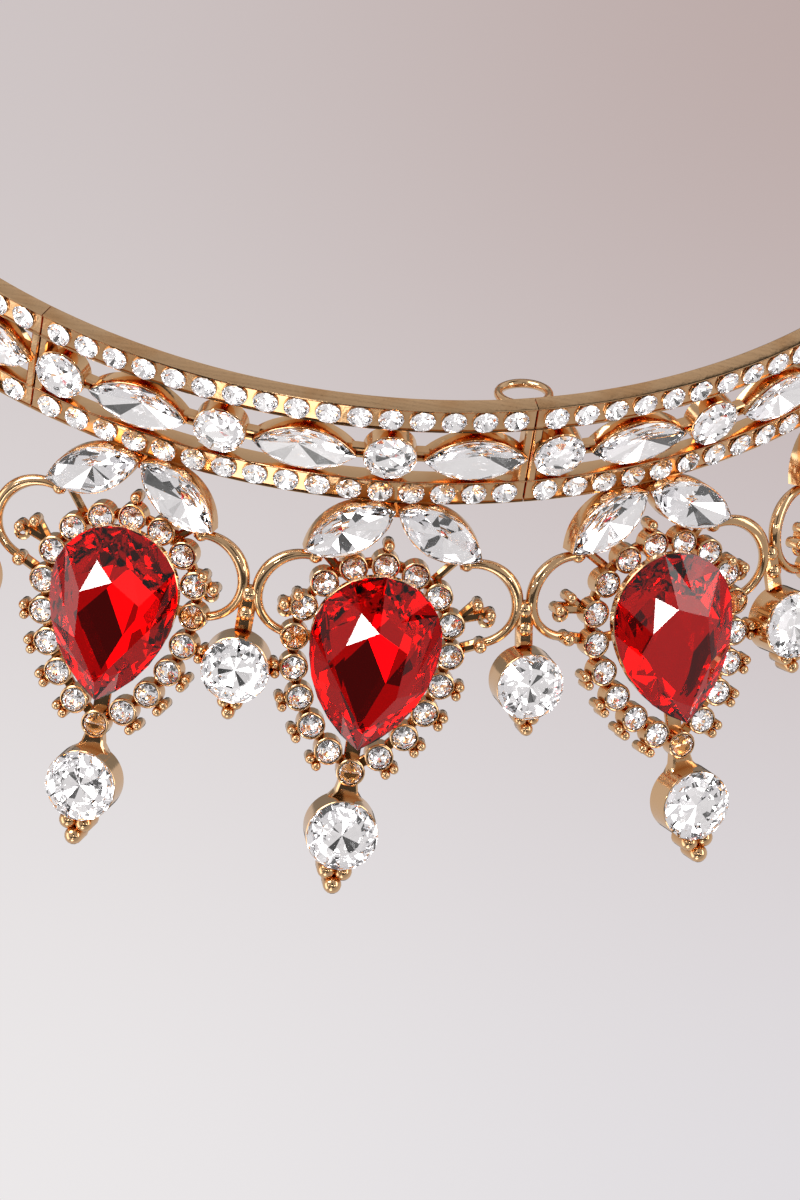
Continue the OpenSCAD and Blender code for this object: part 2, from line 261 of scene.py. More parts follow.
def marquise_outline(l, w, steps):
    """Two arcs between the tips on the X axis, counter-clockwise from the +X tip."""
    r = (l * l + w * w) / (4 * w)
    half = asin(l / 2 / r)
    points, normals = [], []
    for side in (1, -1):
        for k in range(steps):
            t = half * (1 - 2 * k / steps)
            nx, ny = sin(t), cos(t)
            points.append((side * r * nx, side * (r * ny - (r - w / 2))))
            if k == 0:
                normals.append((side / sin(half) if sin(half) > 0.6 else side * 1.6, 0.0))
            else:
                normals.append((side * nx, side * ny))
    return points, normals


def drop_outline(r, tail, round_steps, flank_steps):
    """A round end about the origin and two flanks that meet at the point on +Y."""
    flank = (r * r + tail * tail) / (2 * r)
    reach = asin(tail / flank)
    points, normals = [], []
    for k in range(flank_steps):
        t = reach * (1 - k / flank_steps)
        points.append((-(r - flank + flank * cos(t)), flank * sin(t)))
        normals.append((-cos(t), sin(t)))
    normals[0] = (0.0, min(1.7, 1 / sin(reach)))
    for k in range(round_steps + 1):
        t = pi + pi * k / round_steps
        points.append((r * cos(t), r * sin(t)))
        normals.append((cos(t), sin(t)))
    for k in range(1, flank_steps):
        t = reach * k / flank_steps
        points.append((r - flank + flank * cos(t), flank * sin(t)))
        normals.append((cos(t), sin(t)))
    return points, normals


# ---------- mesh building ----------

def strip(low, high, count):
    """Faces between two closed rings of points."""
    return [(low + k, low + (k + 1) % count, high + (k + 1) % count, high + k) for k in range(count)]


class Shape:
    """Collects closed shells of one mesh, in millimetres."""

    def __init__(self):
        self.points, self.faces, self.slots = [], [], []

    def add(self, points, faces, at=None, slot=0):
        base = len(self.points)
        self.points += [at @ Vector(p) for p in points] if at is not None else [Vector(p) for p in points]
        self.faces += [tuple(base + v for v in face) for face in faces]
        self.slots += list(slot) if isinstance(slot, (list, tuple)) else [slot] * len(faces)

    def lathe(self, profile, count, at):
        """Turns a profile of (radius, height) that starts and ends on the axis."""
        points, rings = [], []
        for r, z in profile:
            if r < 1e-6:
                rings.append([len(points)] * count)
                points.append((0, 0, z))
            else:
                rings.append(list(range(len(points), len(points) + count)))
                points += [(r * cos(t), r * sin(t), z) for t in turns(count)]
        faces = []
        for low, high in zip(rings, rings[1:]):
            for k in range(count):
                n = (k + 1) % count
                face = tuple(dict.fromkeys((low[k], low[n], high[n], high[k])))
                if len(face) > 2:
                    faces.append(face)
        self.add(points, faces, at)

    def wall(self, outline, profile, at, caps=False):
        """Sweeps a profile of (offset, height) round an outline. With caps the profile is open,
        and flat faces close its first and last rings."""
        flat, normals = outline
        count, rows = len(flat), len(profile)
        points = [(x + nx * off, y + ny * off, z) for off, z in profile
                  for (x, y), (nx, ny) in zip(flat, normals)]
        faces = []
        for j in range(rows - 1 if caps else rows):
            faces += strip(j * count, (j + 1) % rows * count, count)
        if caps:
            faces += [tuple(range(count))[::-1], tuple(range((rows - 1) * count, rows * count))]
        self.add(points, faces, at)

    def bar(self, a, b, w, low, high, at, edge=0.1):
        """A soft-edged bar between two points."""
        a, b = Vector(a), Vector(b)
        along = (b - a).normalized()
        side = Vector((-along.y, along.x))
        corners = [(a, -1), (b, -1), (b, 1), (a, 1)]
        flat = [tuple(p + side * s * w / 2) for p, s in corners]
        normals = [tuple(side * s + along * e) for s, e in ((-1, -1), (-1, 1), (1, 1), (1, -1))]
        profile = [(-edge, low), (0, low + edge), (0, high - edge), (-edge, high)]
        self.wall((flat, normals), profile, at, caps=True)

    def rod(self, x, y, r, low, top, at, count=12):
        """A short rod with a domed front end."""
        dome = [(r * cos(t * pi / 8), top + r * sin(t * pi / 8)) for t in range(5)]
        foot = [(0, low), (r * 0.9, low), (r, low + 0.1)]
        self.lathe(foot + dome[:-1] + [(0, top + r)], count, at @ move(x, y))

    def ball(self, x, y, z, r, at, count=14):
        half = [(r * cos(t), z + r * sin(t)) for t in
                [pi * (k / 8 - 0.5) for k in range(1, 8)]]
        self.lathe([(0, z - r)] + half + [(0, z + r)], count, at @ move(x, y))

    def tube(self, path, radii, at, count=12, closed=False):
        """A round wire along a path, with domed ends where it is open."""
        path = [Vector(p) for p in path]
        last = len(path)
        rings = []
        for k, p in enumerate(path):
            before = path[k - 1] if k or closed else path[k]
            after = path[(k + 1) % last] if k + 1 < last or closed else path[k]
            along = (after - before).normalized()
            across = along.cross(Vector((0, 0, 1)))
            across = across.normalized() if across.length > 1e-4 else Vector((1, 0, 0))
            rings.append((p, along, across, across.cross(along), radii[k]))
        points = []
        if not closed:
            p, along, across, up, r = rings[0]
            rings = [(p - along * r * 0.75, along, across, up, r * 0.66)] + rings
            p, along, across, up, r = rings[-1]
            rings = rings + [(p + along * r * 0.75, along, across, up, r * 0.66)]
        for p, _, across, up, r in rings:
            points += [p + (across * cos(t) + up * sin(t)) * r for t in turns(count)]
        faces = []
        for j in range(len(rings) if closed else len(rings) - 1):
            faces += strip(j * count, (j + 1) % len(rings) * count, count)
        if not closed:
            end = (len(rings) - 1) * count
            faces += [tuple(range(count))[::-1], tuple(range(end, end + count))]
        self.add(points, faces, at)

    def round_cup(self, inner, wall, low, floor, top, at, count=32, rim=0.12):
        """A round cup with a thin rounded rim."""
        outer = inner + wall
        self.lathe([(0, low), (outer - 0.12, low), (outer, low + 0.12), (outer, top - rim),
                    (outer - wall * 0.3, top - rim * 0.2), (outer - wall * 0.5, top),
                    (inner + wall * 0.12, top - rim * 0.3), (inner, top - rim), (inner, floor), (0, floor)],
                   count, at)

    def shaped_cup(self, outline, wall, low, floor, top, at, gap, rim=0.12):
        """A cup that follows a stone's outline, with a floor plate."""
        profile = [(0, floor - 0.2), (0, top - rim), (0.15, top - rim * 0.3), (0.5, top),
                   (0.8, top - rim * 0.2), (1, top - rim), (1, low + 0.1)]
        profile = [(gap + wall * share, z) for share, z in profile]
        self.wall(outline, profile + [(gap + wall - 0.1, low), (gap, low)], at)
        self.wall(outline, [(gap + wall * 0.5, low + 0.03), (gap + wall * 0.5, floor)], at, caps=True)

    def mesh(self, name, materials, smooth=None):
        """The shapes as a mesh in metres. smooth is the angle above which an edge stays sharp."""
        mesh = bpy.data.meshes.new(name)
        mesh.from_pydata([p * MM for p in self.points], [], self.faces)
        mesh.polygons.foreach_set("material_index", self.slots)
        work = bmesh.new()
        work.from_mesh(mesh)
        bmesh.ops.recalc_face_normals(work, faces=work.faces)
        work.to_mesh(mesh)
        work.free()
        for material in materials:
            mesh.materials.append(material)
        if smooth is not None:
            mesh.polygons.foreach_set("use_smooth", [True] * len(mesh.polygons))
            mesh.set_sharp_from_angle(angle=radians(smooth))
        mesh.update()
        return mesh


def add_object(name, data):
    made = bpy.data.objects.new(name, data)
    bpy.context.scene.collection.objects.link(made)
    return made


def place(name, mesh, slot, nodes, at=None):
    """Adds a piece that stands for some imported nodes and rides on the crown's one body."""
    piece = add_object(name, mesh)
    if at is not None:
        piece.matrix_world = at
    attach(piece, BODY)
    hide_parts(*nodes)
    return piece


# ---------- cut stones ----------

GLASS, FOIL = 0, 1
LIFT = 0.15      # from a large cup's rim up to its stone's girdle
GIRDLE = 0.12    # height of a large stone's edge
TABLE, CENTRE = 0.48, 0.5    # the round stones' table and the middle of their underside, as shares


def cut_stone(shape, girdle, at, table, ring, crown, girdle_h, depth, culet=(0.0, 0.0)):
    """Adds a stone with a faceted crown over a plain fan of facets. girdle holds an even number of
    outline points; table and ring are the sizes of the table and of the crown's middle points, as
    shares of the outline."""
    count = len(girdle) // 2
    lean = cos(pi / count)
    ring_z = crown * (1 - (ring * lean - table) / (1 - table))
    cx, cy = culet
    points = [(cx + (x - cx) * table, cy + (y - cy) * table, crown) for x, y in girdle[::2]]
    points += [(cx + (x - cx) * ring, cy + (y - cy) * ring, ring_z) for x, y in girdle[1::2]]
    points += [(x, y, 0) for x, y in girdle]
    points += [(x, y, -girdle_h) for x, y in girdle]
    points.append((cx, cy, -depth))
    star, edge, under, tip = count, 2 * count, 4 * count, 6 * count
    faces, slots = [tuple(range(count))], [GLASS]
    for k in range(count):
        n, b = (k + 1) % count, (k - 1) % count
        faces += [(k, star + k, n), (k, star + b, edge + 2 * k), (k, edge + 2 * k, star + k),
                  (star + k, edge + 2 * k, edge + 2 * k + 1), (star + k, edge + 2 * k + 1, edge + 2 * n)]
        slots += [GLASS] * 5
        for e in (2 * k, 2 * k + 1):
            f = (e + 1) % (2 * count)
            faces.append((edge + e, under + e, under + f, edge + f))
        faces += [(tip, under + 2 * k + 1, under + 2 * k), (tip, under + 2 * n, under + 2 * k + 1)]
        slots += [FOIL] * 4
    shape.add(points, faces, at, slots)


def drop_cut(shape, r, tail, at, crown, depth):
    """A pear stone with a six-sided table and a flat kite underneath."""
    table = [(0, -0.18), (0.47, 0.08), (0.42, 0.8), (0, 1.42), (-0.42, 0.8), (-0.47, 0.08)]
    ring = [(0.31, -0.44), (0.68, 0.42), (0.33, 1.2), (-0.33, 1.2), (-0.68, 0.42), (-0.3, -0.36)]
    kite = [(0.12, 0.0), (0.5, 0.5), (0.03, 1.4), (-0.25, 0.66)]
    outline = drop_outline(r, tail, 12, 6)[0]
    girdle = outline[12:] + outline[:12]
    count = len(girdle)
    half = count // 2
    points = [(x * r, y * r, crown) for x, y in table]
    points += [(x * r, y * r, crown * 0.58) for x, y in ring]
    points += [(x, y, 0) for x, y in girdle] + [(x, y, -GIRDLE) for x, y in girdle[::2]]
    points += [(x * r, y * r, -depth) for x, y in kite]
    star, edge, under, low = 6, 12, 12 + count, 12 + count + half
    faces, slots = [tuple(range(6))], [GLASS]
    for k in range(6):
        n, b = (k + 1) % 6, (k - 1) % 6
        faces += [(k, star + k, n), (k, star + b, edge + 4 * k), (k, edge + 4 * k, star + k)]
        faces += [(star + k, edge + j, edge + (j + 1) % count) for j in range(4 * k, 4 * k + 4)]
        slots += [GLASS] * 7
    corner = (0, 0, 1, 1, 1, 2, 2, 2, 3, 3, 3, 0)    # the kite's corner nearest each girdle point
    for j in range(half):
        f = (j + 1) % half
        faces += [(edge + 2 * j, under + j, under + f, edge + 2 * f, edge + 2 * j + 1),
                  (low + corner[j], under + f, under + j)]
        if corner[f] != corner[j]:
            faces.append((low + corner[j], low + corner[f], under + f))
    faces.append(tuple(low + k for k in (3, 2, 1, 0)))
    slots += [FOIL] * (len(faces) - len(slots))
    shape.add(points, faces, at, slots)


def small_cut(shape, d, at, rng):
    """A small round stone, turned at random and up to three degrees out of true."""
    lean = radians(3.0)
    turn = turn_z(rng.uniform(0, 2 * pi))
    tilt = turn_x(rng.uniform(-lean, lean))
    tilt = tilt @ Matrix.Rotation(rng.uniform(-lean, lean), 4, "Y")
    cut_stone(shape, circle_outline(d / 2, 12)[0], at @ (tilt @ turn), 0.55, 0.80, 0.38, 0.08, 0.8)


def round_cut(shape, d, at, rng, crown, depth, sides=16):
    """A round stone with a broad table and wedges round it, each a little different underneath."""
    outer = circle_outline(d / 2, sides, rng.uniform(0, pi))[0]
    table = [(TABLE * x, TABLE * y, crown) for x, y in outer]
    low = [(CENTRE * x, CENTRE * y, -depth * rng.uniform(0.6, 1)) for x, y in outer]
    points = table + [(x, y, 0) for x, y in outer] + [(x, y, -GIRDLE) for x, y in outer]
    points += low + [(0, 0, -depth)]
    edge, under, inner, tip = sides, 2 * sides, 3 * sides, 4 * sides
    faces, slots = [tuple(range(sides))], [GLASS]
    for k in range(sides):
        n = (k + 1) % sides
        faces += [(k, edge + k, edge + n, n), (edge + k, under + k, under + n, edge + n),
                  (inner + k, under + n, under + k), (inner + k, inner + n, under + n),
                  (tip, inner + n, inner + k)]
        slots += [GLASS] + [FOIL] * 4
    shape.add(points, faces, at, slots)


def marquise_cut(shape, l, w, at, crown, depth, culet):
    """A marquise stone whose lower facets meet at the culet."""
    cut_stone(shape, marquise_outline(l, w, 6)[0], at, 0.78, 0.90, crown, GIRDLE, depth, culet)


# ---------- shader building ----------

class Value:
    """A node socket that can be used in plain arithmetic."""

    def __init__(self, tree, socket):
        self.tree, self.socket = tree, socket

    def maths(self, operation, *values):
        return self.tree.node("Math", dict(enumerate(values)), operation=operation)

    def __add__(self, other):
        return self.maths("ADD", self, other)

    def __mul__(self, other):
        return self.maths("MULTIPLY", self, other)

    def __truediv__(self, other):
        return self.maths("DIVIDE", self, other)

    def __rsub__(self, other):
        return self.maths("SUBTRACT", other, self)

    def __abs__(self):
        return self.maths("ABSOLUTE", self)

    __radd__, __rmul__ = __add__, __mul__

    def above(self, low, high):
        """0 below low, 1 above high and smooth between them."""
        return self.tree.node("MapRange", {"Value": self, "From Min": low, "From Max": high},
                              interpolation_type="SMOOTHSTEP")


class Nodes:
    """Adds nodes to a material or a world."""

    def __init__(self, owner):
        owner.use_nodes = True
        self.tree = owner.node_tree
        self.tree.nodes.clear()

    def feed(self, socket, value):
        if isinstance(value, Value):
            self.tree.links.new(value.socket, socket)
        else:
            socket.default_value = value

    def node(self, kind, inputs=None, out=0, **settings):
        made = self.tree.nodes.new("ShaderNode" + kind)
        for key, value in settings.items():
            setattr(made, key, value)
        for key, value in (inputs or {}).items():
            self.feed(made.inputs[key], value)
        return Value(self, made.outputs[out]) if made.outputs else None

    def mix(self, share, a, b):
        made = self.tree.nodes.new("ShaderNodeMix")
        made.data_type = "RGBA"
        for key, value in ((0, share), (6, a), (7, b)):
            self.feed(made.inputs[key], value)
        return Value(self, made.outputs[2])

    def dot(self, a, direction):
        return self.node("VectorMath", {0: a, 1: direction}, out=1, operation="DOT_PRODUCT")


def rgba(rgb, scale=1.0):
    return (*(scale * c for c in rgb), 1.0)


def finish_material(name, build):
    material = bpy.data.materials.get(name)
    if material is None:
        material = bpy.data.materials.new(name)
        nodes = Nodes(material)
        nodes.node("OutputMaterial", {"Surface": build(nodes)})
    return material


def gold_material():
    """Polished plating over a casting: fine pits, painted shade that turns the plating to the deep tone in
    hollows found by ambient occlusion, and the same deep tone in random duller patches.
    """
    finish = bpy.context.scene.crown_finish

    def build(n):
        at = n.node("TexCoord", out="Object")
        waves = n.node("TexNoise", {"Vector": at, "Scale": 420.0, "Detail": 2.0})
        pits = n.node("TexNoise", {"Vector": at, "Scale": 2600.0, "Detail": 3.0})
        patches = n.node("TexNoise", {"Vector": at, "Scale": 170.0, "Detail": 3.0})
        dull = patches.above(0.48, 0.72)
        # Painted shade: the ambient occlusion mask darkens the plating to the deep tone in hollows and
        # between parts.
        painted_shade_ao = n.node("AmbientOcclusion", {"Distance": 0.0012}, out="AO", samples=3)
        relief = waves * 0.8 + pits * 0.2
        return n.node("BsdfPrincipled", {
            "Base Color": n.mix((1 - painted_shade_ao) * 1.4 + dull * 0.35,
                                rgba(finish.gold), rgba(finish.gold_shade_and_dull)),
            "Metallic": 1.0,
            "Roughness": 0.10 + dull * 0.10 + pits.above(0.6, 0.8) * 0.10,
            "Normal": n.node("Bump", {"Strength": 0.35, "Distance": 0.00012, "Height": relief})})

    return finish_material("Polished gold plating", build)


def plain_material(name, tint, inputs):
    return finish_material(name, lambda n: n.node("BsdfPrincipled", {"Base Color": rgba(tint), **inputs}))


def stone_materials(red=False):
    """Cut glass, and the foil behind it."""
    finish = bpy.context.scene.crown_finish
    glass, foil = ("Clear cut glass", finish.crystal), ("Silver foil", finish.foil)
    if red:
        glass, foil = ("Ruby cut glass", finish.ruby), ("Ruby foil", finish.ruby_foil)
    return [plain_material(*glass, {"Roughness": 0.0, "IOR": 1.56, "Transmission Weight": 1.0}),
            plain_material(*foil, {"Roughness": 0.03, "Metallic": 1.0})]


# ---------- band ----------

def rail_shape(plan, shape, z):
    """A channel with rounded lips, its seats between the stones, and closed ends."""
    half = plan.segment_a / 2 - plan.seam_gap / plan.ring_r / 2
    steps = 64
    wall = (plan.rail_height - plan.small) / 2 - 0.03
    h, back, front, floor = plan.rail_height / 2, plan.rail_back, 0.1, -1.05
    section = [(back, -h + 0.15), (back + 0.15, -h), (front - 0.15, -h), (front - 0.03, -h + 0.04),
               (front, -h + wall * 0.5), (front - 0.06, -h + wall), (floor, -h + wall)]
    section += [(out, -up) for out, up in section[::-1]]
    points, faces, count = [], [], len(section)
    for k in range(steps + 1):
        a = -half + 2 * half * k / steps
        for out, up in section:
            r = plan.ring_r + out
            points.append((r * sin(a), -r * cos(a), z + up))
    for k in range(steps):
        faces += strip(k * count, (k + 1) * count, count)
    faces += [tuple(range(count)), tuple(range(steps * count, (steps + 1) * count))[::-1]]
    shape.add(points, faces)
    seat = plan.small / 2 + 0.03
    pitch = plan.rail_pitch
    end = 0.46
    high = h - wall + 0.05
    arcs = [asin(high * 0.98 / (pitch / 2 + 0.9)) * (k / 5 - 1) for k in range(11)]
    for i in range(plan.rail_stones + 1):
        a = plan.arc((i - plan.rail_stones / 2) * pitch)
        left, right = [], []
        for t in arcs:
            y = high * t / abs(arcs[0])
            reach = sqrt(max(seat * seat - y * y, 0.0))
            right.append((pitch / 2 - reach, y))
            left.append((-pitch / 2 + reach, y))
        if i == 0:
            left = [(-end, y) for _, y in left]
        if i == plan.rail_stones:
            right = [(end, y) for _, y in right]
        flat = right + left[::-1]
        normals = [(1.0, 0.0)] * len(right) + [(-1.0, 0.0)] * len(left)
        shape.wall((flat, normals), [(0, floor - 0.05), (0, -0.16), (-0.05, -0.07)],
                   on_band(plan, a, z), caps=True)
    lip = [(0.0, -0.3), (0.0, -0.05), (0.05, 0.02), (0.11, -0.02), (0.14, -0.12), (0.14, -0.3)]
    for i in range(plan.rail_stones):
        shape.wall(circle_outline(seat, 20), lip, on_band(plan, plan.rail_angle(i), z))


def band_shape(plan):
    """One cast segment of the band, centred on -Y."""
    shape = Shape()
    rail_shape(plan, shape, plan.lower_z)
    rail_shape(plan, shape, plan.upper_z)
    strut_h = plan.row_gap - plan.rail_height + 0.6
    floor = plan.middle_back + 0.4
    for i in range(plan.middle_count):
        at = on_band(plan, plan.middle_angle(i), plan.middle_z)
        if i % 2 == 0:
            shape.round_cup(plan.middle_round / 2 + plan.cup_inset, plan.cup_wall, plan.middle_back,
                            floor, plan.middle_top, at, rim=0.1)
        else:
            shape.shaped_cup(marquise_outline(plan.middle_length, plan.middle_width, 20), plan.cup_wall,
                             plan.middle_back, floor, plan.middle_top, at, plan.cup_inset, rim=0.1)
        shape.bar((0, -strut_h / 2), (0, strut_h / 2), 1.4, plan.rail_back + 0.02, plan.rail_back + 0.6, at)
    for i in range(plan.middle_count - 1):
        for side in (-1, 1):
            shape.bar((-0.8, side * 0.42), (0.8, side * 0.42), 0.46, floor, 0.05,
                      on_band(plan, plan.link_angle(i), plan.middle_z), edge=0.12)
    post = 0.9
    for side in (-1, 1):
        a = side * (plan.segment_a / 2 - (plan.seam_gap / 2 + post / 2) / plan.ring_r)
        shape.bar((0, -plan.row_gap / 2 + 1.1), (0, plan.row_gap / 2 - 1.1), post - 0.04,
                  plan.rail_back + 0.2, 0.03, on_band(plan, a, plan.middle_z), edge=0.14)
    return shape


# ---------- spire ----------

def trefoil_shape(plan, shape, d, r, top, at):
    """Three fused rods with round front ends, beyond a cup."""
    for x, y in ((-0.88 * r, 0.5 * r), (0.88 * r, 0.5 * r), (0, 2.1 * r)):
        shape.rod(x, d / 2 + y, r, plan.back, top, at, count=16)


def spire_shape(plan, bend):
    """One cast spire, centred on -Y, with the part above its leaves bent sideways."""
    shape = Shape()
    plain = on_spire(plan, 0)
    bent = plain @ turn_z(bend)
    back, floor = plan.back, plan.floor
    marquise = marquise_outline(plan.leaf_length, plan.leaf_width, 20)
    for side in (-1, 1):
        at = plain @ move(side * plan.leaf_x, plan.leaf_y) @ turn_z(side * plan.leaf_a)
        shape.shaped_cup(marquise, plan.cup_wall, back, floor, plan.leaf_top, at, plan.cup_inset)
        first, second = plan.halo_at(1, 0, side), plan.halo_at(2, 0, side)
        joint = ((first[0] + second[0]) / 2, (first[1] + second[1]) / 2)
        shape.bar((side * 7.2, 6.5), joint, 0.9, back, floor, plain, edge=0.25)
    foot = plain @ turn_x(-plan.flare)
    shape.bar((0, plan.rail_height / 2 - 0.2), (0, plan.rail_height / 2 + 2.4), 3.0,
              plan.rail_back + 0.1, plan.rail_back + 1.5, foot, edge=0.2)
    scroll_shape(plan, shape, plain)
    halo_shape(plan, shape, bent)
    basket_shape(plan, shape, bent)
    tip_shape(plan, shape, bent)
    return shape


def scroll_shape(plan, shape, at):
    """A wire that springs from each leaf, turns at the bridge and curls back to the halo."""
    x, y = plan.scroll_at
    low = plan.back + plan.scroll_wire / 2 + 0.1
    steps = 40
    for side in (-1, 1):
        path, radii = [], []
        for k in range(steps + 1):
            share = k / steps
            t = radians(-112 + 190 * share)
            r = plan.scroll_r * (1 - 0.06 * share)
            path.append((side * (x + r * cos(t)), y + r * sin(t),
                         low + 0.1 * sin(pi * share)))
            swell = sin(pi * min(1, share * 1.25)) ** 2
            radii.append(plan.scroll_wire / 2 * (0.78 + 0.34 * swell))
        shape.tube(path, radii, at, count=14)
        shape.ball(*path[1][:2], low, 0.72, at)
        for px, py, r in ((9.05, 11.35, 0.5), (10.4, 12.35, 0.5), (9.65, 15.65, 0.6)):
            shape.rod(side * px, py, r * 1.15, plan.back, 0.3, at)
        for a, b, w in ((3, (10.4, 12.35), 1.15), (3, (9.05, 11.35), 1.0), (4, (9.65, 15.65), 1.1)):
            shape.bar(plan.halo_at(a, 0, side), (side * b[0], b[1]), w, plan.back, plan.back + 1.0, at,
                      edge=0.3)
        curl = [(side * (10.1 + 0.62 * cos(t)), 12.95 + 0.62 * sin(t), -0.35)
                for t in (radians(200 - 24 * k) for k in range(11))]
        shape.tube(curl, [0.3] * len(curl), at, count=8)


def halo_shape(plan, shape, at):
    """Small cups round the drop, joined to each other, with a peg beyond each outer one."""
    back, floor = plan.back, plan.floor
    places = plan.halo_places()
    for k, (x, y) in enumerate(places):
        shape.round_cup(plan.small / 2 + 0.03, plan.cup_wall * 0.92, back, floor, plan.halo_top + 0.05,
                        at @ move(x, y), count=22, rim=0.1)
        shape.bar((x, y), places[(k + 1) % len(places)], 1.1, back + 0.02, floor - 0.02, at)
    for k in (5, 6, 7, 8):
        for side in (-1, 1):
            inner, outer = plan.halo_at(k, 1.2, side), plan.halo_at(k, 1.95, side)
            away = ((outer[0] - inner[0]) / 0.75, (outer[1] - inner[1]) / 0.75)
            shape.bar(inner, outer, 0.8, back + 0.02, 0.15, at, edge=0.2)
            for along in (-0.5, 0.5):
                shape.rod(outer[0] - away[1] * along, outer[1] + away[0] * along, plan.peg_r, back, 0.3, at)
    shape.bar(plan.halo_at(0), plan.halo_at(0, 2.1), 0.9, back + 0.02, floor, at)
    shape.rod(*plan.halo_at(0, 2.1), 0.6, back, 0.3, at)


def basket_shape(plan, shape, at):
    """The drop's basket, on spokes, wide only above the halo."""
    back, r, tail = plan.back, plan.drop_r, plan.drop_tail
    seat = plan.drop_seat
    lift = at @ move(0, plan.drop_y)
    collar = drop_outline(r * 0.74, tail * 0.74, 28, 16)
    shape.wall(collar, [(0, back), (0, seat + 0.12), (-0.45, seat + 0.12), (-0.45, back)], lift)
    rim = plan.drop_top - 0.05
    profile = [(-r * 0.28, seat), (-0.35, seat), (-0.12, seat + 0.14), (-0.12, rim - 0.3), (-0.2, rim - 0.2),
               (-0.3, rim - 0.2), (-0.36, rim - 0.3), (-0.36, seat + 0.25), (-r * 0.28, seat + 0.25)]
    shape.wall(drop_outline(r, tail, 36, 24), profile, lift)
    low, high = back + 0.02, plan.floor
    shape.bar((0, plan.drop_y), plan.halo_at(0), 1.0, low, high, at)
    shape.bar((0, plan.drop_y), plan.halo_at(plan.halo_half), 1.6, low, high, at)
    for side in (-1, 1):
        shape.bar((0, plan.drop_y + 2), plan.halo_at(4, 0, side), 1.0, low, high, at)


def tip_shape(plan, shape, at):
    """Neck, deep round cup and trefoil at the spire's end."""
    start = plan.halo_at(plan.halo_half)[1]
    cup = plan.tip / 2
    end = plan.tip_y - cup * 0.7
    sides = [(1.0, start), (0.95, start + 1.2), (1.15, start + 2.2), (1.75, start + 3.0), (2.6, end)]
    flat = sides + [(-x, y) for x, y in sides[::-1]]
    normals = [(1, 0)] * len(sides) + [(-1, 0)] * len(sides)
    profile = [(-0.15, plan.back), (0, plan.back + 0.15), (0, 0.05), (-0.2, 0.25)]
    shape.wall((flat, normals), profile, at, caps=True)
    shape.round_cup(cup + plan.cup_inset, plan.cup_wall, plan.back, plan.floor, plan.cup_top,
                    at @ move(0, plan.tip_y), count=56)
    trefoil_shape(plan, shape, plan.tip, plan.finial_r, 0.9, at @ move(0, plan.tip_y))


def bridge_shape(plan):
    """Cup, stem and trefoil between two spires, at the ring's -Y side."""
    shape = Shape()
    at = on_bridge(plan, 0)
    cup = plan.bridge / 2
    shape.round_cup(cup + plan.cup_inset, plan.cup_wall, plan.back, plan.floor, plan.cup_top, at, count=52)
    trefoil_shape(plan, shape, plan.bridge, plan.bridge_finial_r, 0.7, at)
    meet = plan.meet_y - plan.bridge_y
    low = plan.back
    shape.bar((0, meet), (0, -cup), 1.7, low, low + 1.3, at, edge=0.35)
    shape.ball(0, meet, low + 0.7, 0.95, at)
    shape.ball(0, (meet - cup) / 2, low + 0.9, 0.85, at)
    return shape


def loop_shape(plan):
    """A tilted wire ring with its solder pad, inside the band at its -Y side."""
    shape = Shape()
    outer, r = plan.loop_outer / 2, (plan.loop_outer - plan.loop_wire) / 2
    at = move(0, -plan.inner_r + 0.15, plan.lower_z) @ turn_x(plan.loop_tilt) @ move(0, outer)
    path = [(r * cos(t), r * sin(t), 0) for t in turns(48)]
    shape.tube(path, [plan.loop_wire / 2] * len(path), at, count=16, closed=True)
    flat, normals = circle_outline(1.0, 24)
    pad = [(1.2 * x, 0.36 * y - outer + 0.36) for x, y in flat]
    shape.wall((pad, normals), [(-0.2, -0.45), (0, -0.3), (0, 0.3), (-0.2, 0.45)], at, caps=True)
    return shape


# ---------- operators ----------

class CrownStep:
    """One step of the build, with the crown's sizes at hand."""

    def execute(self, context):
        self.build(Plan())
        return {"FINISHED"}


class CROWN_OT_band(CrownStep, bpy.types.Operator):
    """Adds the cast segments of the band"""
    bl_idname = "crown.band"
    bl_label = "Band Segments"

    def build(self, plan):
        mesh = band_shape(plan).mesh("band casting", [gold_material()], smooth=SOFT)
        for i in range(1, plan.segments + 1):
            place(f"cast_band_{i}", mesh, "gold", [f"band_segment_{i}"], turn_z((i - 1) * plan.segment_a))


class CROWN_OT_spires(CrownStep, bpy.types.Operator):
    """Adds the cast spires"""
    bl_idname = "crown.spires"
    bl_label = "Spires"

    def build(self, plan):
        meshes = {b: spire_shape(plan, b).mesh("spire casting", [gold_material()], smooth=SOFT)
                  for b in (plan.side_bend, -plan.side_bend)}
        for i in range(1, plan.spires + 1):
            place(f"cast_spire_{i}", meshes[bend_of(plan, i)], "gold", [f"spire_{i}"],
                  turn_z(spire_angle(plan, i)))


class CROWN_OT_bridges(CrownStep, bpy.types.Operator):
    """Adds the settings between the spires and the loops inside the band"""
    bl_idname = "crown.bridges"
    bl_label = "Bridge Settings and Loops"

    def build(self, plan):
        mesh = bridge_shape(plan).mesh("bridge casting", [gold_material()], smooth=SOFT)
        for i in range(1, plan.spires + 1):
            place(f"cast_bridge_{i}", mesh, "gold", ["bridge_settings"], turn_z(plan.spire_a * (i - 1)))
        mesh = loop_shape(plan).mesh("loop wire", [gold_material()], smooth=SOFT)
        for i in range(1, plan.loops + 1):
            place(f"wire_loop_{i}", mesh, "gold", [f"pin_loop_{i}"],
                  turn_z(2 * pi / plan.loops * (i - 1) - plan.segment_a / 2))


